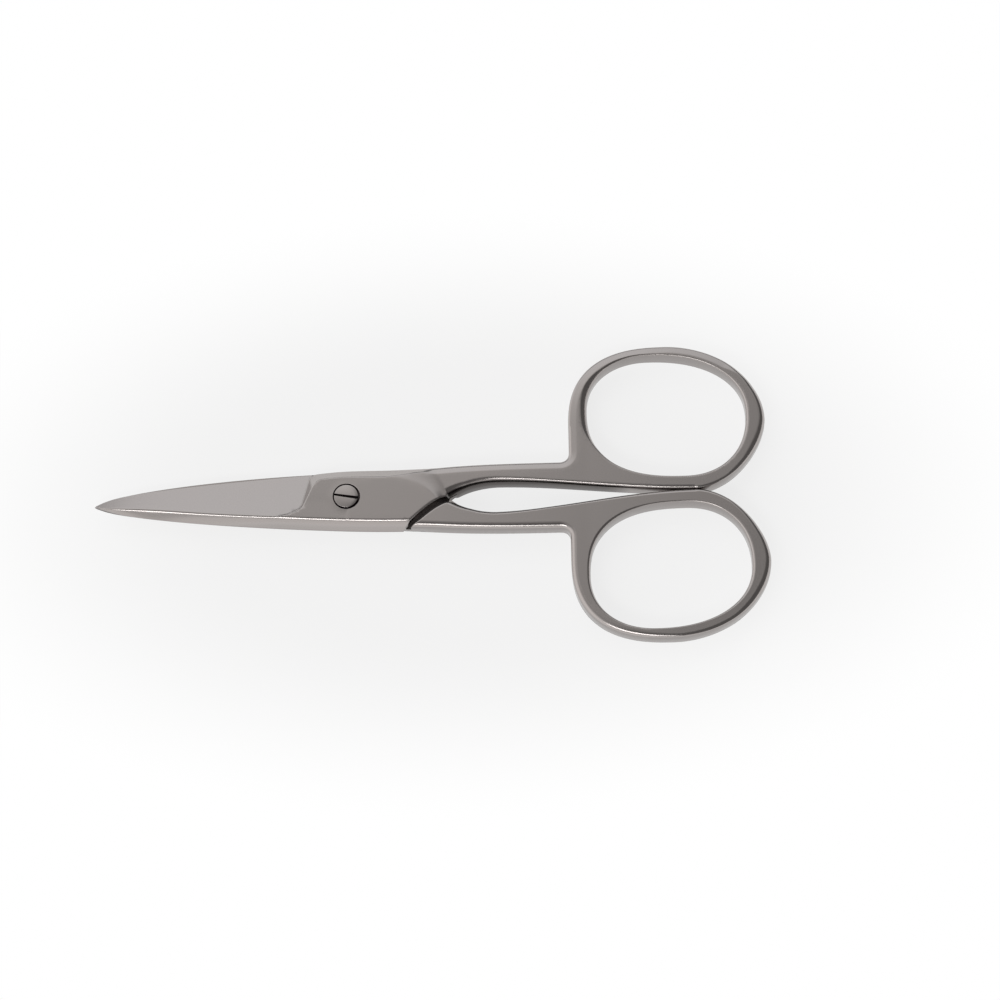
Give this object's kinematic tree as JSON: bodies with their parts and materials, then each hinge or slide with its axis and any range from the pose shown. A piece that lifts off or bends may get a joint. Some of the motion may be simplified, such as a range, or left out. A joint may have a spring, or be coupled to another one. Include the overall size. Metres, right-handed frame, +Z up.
{
  "type": "nail scissors",
  "caption": "Small straight nail scissors in satin steel: crossing halves with oval finger rings, turning on a slotted pivot screw at a lap joint",
  "frame": {"origin": "on the pivot screw's axis, at the level of the rear half's outer face, which is the resting face", "axes": "+X from the pivot to the finger rings along the centre line, +Y to the front half's ring, +Z up through the thickness to the front half's outer face"},
  "size_m": [0.0896, 0.0416, 0.0036],
  "materials": {
    "front_steel": "satin",
    "rear_steel": "satin",
    "screw_steel": "satin"
  },
  "bodies": {
    "rear": {"rear_half": "rear_steel", "pivot_screw": "screw_steel"},
    "front": {"front_half": "front_steel"}
  },
  "joints": [
    {"name": "opening", "type": "hinge", "parent": "rear", "child": "front", "pos_m": [0, 0, 0], "axis": [0, 0, 1], "range_deg": [0, 130]}
  ]
}
